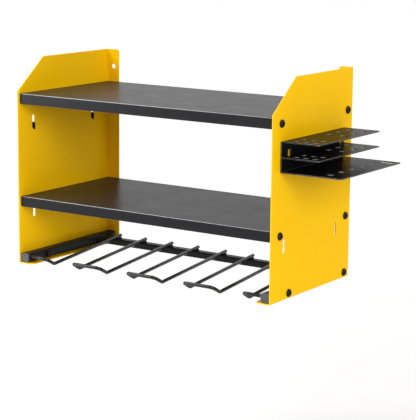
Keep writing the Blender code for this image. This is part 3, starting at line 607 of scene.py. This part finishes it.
# The strip takes the rack's darker black, which is painted shade.
dress_sheet(nodes["hook_rail_strip"], rack_shade_coat, black_edge, rounding=RACK_EDGE_ROUNDING)
strip_face = -(HANGER_BACK + SHEET + FIT)
shank_x = strip_face - ROD_RADIUS
hook_foot = RAIL_FOOT + HOOK_ABOVE_RAIL_FOOT + ROD_RADIUS
for number in range(1, HOOK_COUNT + 1):
    y = HOOK_MIDDLE_Y + HOOK_SPREAD * ((number - 1) / (HOOK_COUNT - 1) - 0.5)
    points, faces = [], []
    corners = [
        Vector((shank_x, y, RAIL_TOP - HOOK_BELOW_RAIL_TOP)),
        Vector((shank_x, y, hook_foot)),
        Vector((shank_x - HOOK_REACH, y, hook_foot)),
        Vector((shank_x - HOOK_REACH, y, hook_foot + HOOK_TIP_RISE)),
    ]
    bent_rod(points, faces, corners)
    for count, side in enumerate((-1, 1)):
        groove_y = y + side * HOOK_BEAD_ASIDE
        low = Vector((strip_face, groove_y, RAIL_TOP - HOOK_BEAD_FOOT_DROP))
        high = Vector((strip_face, groove_y, RAIL_TOP - HOOK_BEAD_TOP_DROP))
        weld_bead(points, faces, [low, high], HOOK_BEAD_RADIUS, number + count)
    packed = f"rail_hook_{number}"
    add_piece(f"hook_{number}", points, faces, black_rod, "black_rod_coat", "hook_rail", packed)

# Screws and nuts. M6 button heads of blackened steel with a hexagon socket are driven from outside
# each panel, and hexagon nuts of the same steel hold them inside.

THREAD_RADIUS = 0.0030
THREAD_PITCH = 0.0010
THREAD_DEPTH = 0.00055
THREAD_TURN_RINGS = 6
THREAD_RUN_OUT = 0.0004
THREAD_START = 0.0003
SHANK_CHAMFER = 0.0009
HEAD_RADIUS = 0.0055
HEAD_HEIGHT = 0.0030
HEAD_RIM = 0.0006
HEAD_FLAT_RADIUS = 0.0029
DOME_RINGS = 8
SOCKET_ACROSS = 0.0040
SOCKET_LIP = 0.0003
SOCKET_LIP_DEPTH = 0.00015
SOCKET_DEPTH = 0.0019
SOCKET_END_DEPTH = 0.0021
SOCKET_END_RADIUS = 0.0011
NUT_ACROSS = 0.010
NUT_HEIGHT = 0.005
NUT_BORE_RADIUS = 0.0031
NUT_BORE_MOUTH_RADIUS = 0.00335
NUT_BORE_CHAMFER = 0.0004
NUT_FACE_INSET = 0.0002
NUT_CHAMFER = 0.0007
CHAMFER_SHARES = (0.35, 0.7, 1.0)
TURNED_SIDES = 36
SCREW_BLACK = (0.009, 0.009, 0.010)
SCREW_RUBBED = (0.024, 0.024, 0.026)
NUT_BLACK = (0.013, 0.013, 0.014)
NUT_RUBBED = (0.034, 0.034, 0.036)
OXIDE_PATCHES = 0.0025
OXIDE_GRAIN = 0.0004
OXIDE_GRAIN_DEPTH = 0.00002


def oxide_steel(name, colour, rubbed):
    """Blackened steel: an oily dark film, rubbed a little brighter in patches."""
    material, tree, shader = start_material(name)
    place = surface_place(tree)
    patches = noise(tree, place, OXIDE_PATCHES, detail=4.0, roughness=0.6)
    wear = remap(tree, patches, 0.42, 0.68, 0.0, 1.0)
    tree.links.new(mix_colours(tree, wear, colour, rubbed), shader.inputs["Base Color"])
    shader.inputs["Metallic"].default_value = 0.7
    shader.inputs["Specular IOR Level"].default_value = 0.3
    tree.links.new(remap(tree, patches, 0.3, 0.7, 0.28, 0.45), shader.inputs["Roughness"])
    relief = noise(tree, place, OXIDE_GRAIN, detail=3.0)
    tree.links.new(bump(tree, relief, OXIDE_GRAIN_DEPTH, 0.4), shader.inputs["Normal"])
    return material


def hexagon_reach(across, turn):
    """How far a hexagon of this width across its flats reaches in one direction."""
    sixth = math.pi / 3
    return across / 2 / math.cos((turn + sixth / 2) % sixth - sixth / 2)


def turned(rings, sides, closed=False):
    """Points and faces of a shape turned about +X. Each ring is its X and a function of the turn."""
    points, faces = [], []
    for along, reach in rings:
        for side in range(sides):
            turn = 2 * math.pi * side / sides
            radius = reach(turn)
            points.append(Vector((along, radius * math.cos(turn), radius * math.sin(turn))))
    count = len(rings)
    for ring in range(count if closed else count - 1):
        a, b = ring * sides, (ring + 1) % count * sides
        for side in range(sides):
            after = (side + 1) % sides
            faces.append((a + side, a + after, b + after, b + side))
    if not closed:
        faces.append(tuple(reversed(range(sides))))
        faces.append(tuple((count - 1) * sides + side for side in range(sides)))
    return points, faces


def circle(radius):
    return lambda turn: radius


def hexagon(across):
    return lambda turn: hexagon_reach(across, turn)


def thread_at(along, radius, depth):
    """The radius round a screw at this place along it, where the thread winds about it."""

    def reach(turn):
        lead = (along / THREAD_PITCH - turn / (2 * math.pi)) % 1.0
        return radius - depth * (1 - abs(2 * lead - 1))

    return reach


def button_screw(length):
    """The head's underside is at X = 0 and the thread runs towards -X."""
    rings = [(-length, circle(THREAD_RADIUS - SHANK_CHAMFER))]
    threaded = length - THREAD_RUN_OUT
    steps = round(threaded / THREAD_PITCH * THREAD_TURN_RINGS)
    for step in range(steps + 1):
        along = -length + THREAD_START + threaded * step / steps
        rings.append((along, thread_at(along, THREAD_RADIUS, THREAD_DEPTH)))
    rings += [(-0.00005, circle(THREAD_RADIUS)), (0, circle(HEAD_RADIUS - 0.0003))]
    rings += [(0.0002, circle(HEAD_RADIUS - 0.00005)), (0.0005, circle(HEAD_RADIUS))]
    for step in range(1, DOME_RINGS + 1):
        turn = math.pi / 2 * step / DOME_RINGS
        radius = HEAD_FLAT_RADIUS + (HEAD_RADIUS - HEAD_FLAT_RADIUS) * math.cos(turn)
        rings.append((HEAD_RIM + (HEAD_HEIGHT - HEAD_RIM) * math.sin(turn), circle(radius)))
    rings.append((HEAD_HEIGHT, hexagon(SOCKET_ACROSS + SOCKET_LIP)))
    rings.append((HEAD_HEIGHT - SOCKET_LIP_DEPTH, hexagon(SOCKET_ACROSS)))
    rings.append((HEAD_HEIGHT - SOCKET_DEPTH, hexagon(SOCKET_ACROSS)))
    rings.append((HEAD_HEIGHT - SOCKET_END_DEPTH, circle(SOCKET_END_RADIUS)))
    return turned(rings, TURNED_SIDES)


def chamfered(share):
    """The nut's outline where its chamfer has widened by this share from flats to corners."""
    flats, corners = NUT_ACROSS / 2, NUT_ACROSS / math.sqrt(3)
    widest = flats + (corners - flats) * share
    return lambda turn: min(widest, hexagon_reach(NUT_ACROSS, turn))


def hexagon_nut():
    """A chamfered nut from X = 0 to its height along -X."""
    mouth, bore = circle(NUT_BORE_MOUTH_RADIUS), circle(NUT_BORE_RADIUS)
    face = circle(NUT_ACROSS / 2 - NUT_FACE_INSET)
    rings = [(0, mouth), (-NUT_BORE_CHAMFER, bore)]
    rings += [(-NUT_HEIGHT + NUT_BORE_CHAMFER, bore), (-NUT_HEIGHT, mouth), (-NUT_HEIGHT, face)]
    for share in CHAMFER_SHARES:
        rings.append((-NUT_HEIGHT + NUT_CHAMFER * share, chamfered(share)))
    for share in reversed(CHAMFER_SHARES):
        rings.append((-NUT_CHAMFER * share, chamfered(share)))
    rings.append((0, face))
    return turned(rings, TURNED_SIDES, closed=True)


screw_black = oxide_steel("screw_black", SCREW_BLACK, SCREW_RUBBED)
nut_black = oxide_steel("nut_black", NUT_BLACK, NUT_RUBBED)
for node_name in sorted(nodes):
    if not node_name.endswith("_screw"):
        continue
    low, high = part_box(node_name)
    side = 1 if low.x > 0 else -1
    seat = (high.x if side > 0 else low.x) - side * HEAD_HEIGHT
    length = (high.x - low.x) - HEAD_HEIGHT
    at = Matrix.Translation((seat, (low.y + high.y) / 2, (low.z + high.z) / 2))
    facing = Matrix.Rotation(0 if side > 0 else math.pi, 4, "Z")
    socket_turn = 17 * len(node_name) % 60 + 31 * low.z * 1000 % 60
    spun = Matrix.Rotation(math.radians(socket_turn), 4, "X")
    points, faces = button_screw(length)
    points = [at @ facing @ spun @ point for point in points]
    corner = node_name.removesuffix("_screw")
    name = f"{corner}_button_screw"
    add_piece(
        name, points, faces, screw_black, "black_oxide_screw", "organizer", node_name, hard_edges=38
    )
    nut_name = f"{corner}_nut"
    low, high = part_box(nut_name)
    seat = high.x if side > 0 else low.x
    at = Matrix.Translation((seat, (low.y + high.y) / 2, (low.z + high.z) / 2))
    points, faces = hexagon_nut()
    points = [at @ facing @ point for point in points]
    name = f"{corner}_hexagon_nut"
    add_piece(
        name, points, faces, nut_black, "black_oxide_nut", "organizer", nut_name, hard_edges=32
    )

# Floor, lamps and camera. The organizer hangs clear of a plain white floor, in a white studio.
# A large soft lamp stands in front of it on the right, a small one hangs above its left end, and
# a weak one stands low in front on the left.

FLOOR_HEIGHT = -0.34
FLOOR_REACH = 9.0
FLOOR_WHITE = (0.90, 0.90, 0.90)
FLOOR_WHITE_BRIGHT = (0.93, 0.93, 0.93)
FLOOR_MOTTLE = 0.5
FAR_LIFT = 0.52
LIFT_DISTANCE_SQUARED = 2.2
STUDIO_WHITE = (1.0, 0.995, 0.985, 1)
STUDIO_LIGHT = 0.55
LAMPS = (
    ("key_lamp", (3.2, -2.3, 1.5), 1.9, 87),
    ("top_lamp", (-1.0, -0.75, 1.45), 0.9, 24),
    ("left_lamp", (-1.75, -1.85, 0.15), 0.45, 15),
)
CAMERA_PLACE = (1.2726, -1.9460, 0.5219)
CAMERA_TURN = (79.0044, -0.5703, 33.8318)
SENSOR_WIDTH = 36
LENS_IN_PIXELS = 1589.6
PICTURE_HEIGHT_IN_PIXELS = 420



def seen_rays(tree):
    """1 for rays from the camera, also by way of gloss or glass, and 0 for rays that light."""
    rays = tree.nodes.new("ShaderNodeLightPath")
    seen = combine(tree, "MAXIMUM", rays.outputs["Is Camera Ray"], rays.outputs["Is Glossy Ray"])
    return combine(tree, "MAXIMUM", seen, rays.outputs["Is Transmission Ray"])


floor_mesh = bpy.data.meshes.new("studio_floor")
corners = [(x, y, FLOOR_HEIGHT) for x, y in ((-1, -1), (1, -1), (1, 1), (-1, 1))]
corners = [(x * FLOOR_REACH, y * FLOOR_REACH, z) for x, y, z in corners]
floor_mesh.from_pydata(corners, [], [(0, 1, 2, 3)])
floor = bpy.data.objects.new("studio_floor", floor_mesh)
bpy.context.scene.collection.objects.link(floor)
floor_paint, tree, shader = start_material("floor_paint")
shader.inputs["Roughness"].default_value = 0.9
shader.inputs["Specular IOR Level"].default_value = 0.1
mottle = noise(tree, surface_place(tree), FLOOR_MOTTLE)
tree.links.new(
    mix_colours(tree, mottle, FLOOR_WHITE, FLOOR_WHITE_BRIGHT), shader.inputs["Base Color"]
)
away = tree.nodes.new("ShaderNodeVectorMath")
away.operation = "LENGTH"
tree.links.new(surface_place(tree), away.inputs[0])
far = combine(tree, "MULTIPLY", away.outputs["Value"], away.outputs["Value"])
far = combine(tree, "DIVIDE", far, combine(tree, "ADD", far, LIFT_DISTANCE_SQUARED))
lift = combine(tree, "MULTIPLY", far, FAR_LIFT)
shader.inputs["Emission Color"].default_value = (1, 1, 1, 1)
tree.links.new(combine(tree, "MULTIPLY", lift, seen_rays(tree)), shader.inputs["Emission Strength"])
floor_mesh.materials.append(floor_paint)

world = bpy.data.worlds.new("studio")
bpy.context.scene.world = world
world.use_nodes = True
tree = world.node_tree
seen = tree.nodes["Background"]
seen.inputs["Color"].default_value = (1, 1, 1, 1)
seen.inputs["Strength"].default_value = 1.0
lit = tree.nodes.new("ShaderNodeBackground")
lit.inputs["Color"].default_value = STUDIO_WHITE
lit.inputs["Strength"].default_value = STUDIO_LIGHT
both = tree.nodes.new("ShaderNodeMixShader")
tree.links.new(seen_rays(tree), both.inputs[0])
tree.links.new(lit.outputs[0], both.inputs[1])
tree.links.new(seen.outputs[0], both.inputs[2])
tree.links.new(both.outputs[0], tree.nodes["World Output"].inputs["Surface"])

middle = (packed_low + packed_high) / 2
for name, place, width, watts in LAMPS:
    lamp = bpy.data.lights.new(name, "AREA")
    lamp.shape = "RECTANGLE"
    lamp.size = lamp.size_y = width
    lamp.energy = watts
    stand = bpy.data.objects.new(name, lamp)
    bpy.context.scene.collection.objects.link(stand)
    stand.location = place
    stand.rotation_euler = (middle - stand.location).to_track_quat("-Z", "Y").to_euler()

camera = bpy.data.cameras.new("camera")
camera.sensor_width = SENSOR_WIDTH
camera.lens = LENS_IN_PIXELS / PICTURE_HEIGHT_IN_PIXELS * SENSOR_WIDTH
camera.clip_start = 0.01
tripod = bpy.data.objects.new("camera", camera)
bpy.context.scene.collection.objects.link(tripod)
tripod.location = CAMERA_PLACE
tripod.rotation_euler = [math.radians(turn) for turn in CAMERA_TURN]
bpy.context.scene.camera = tripod

bpy.context.scene.view_settings.view_transform = "Standard"
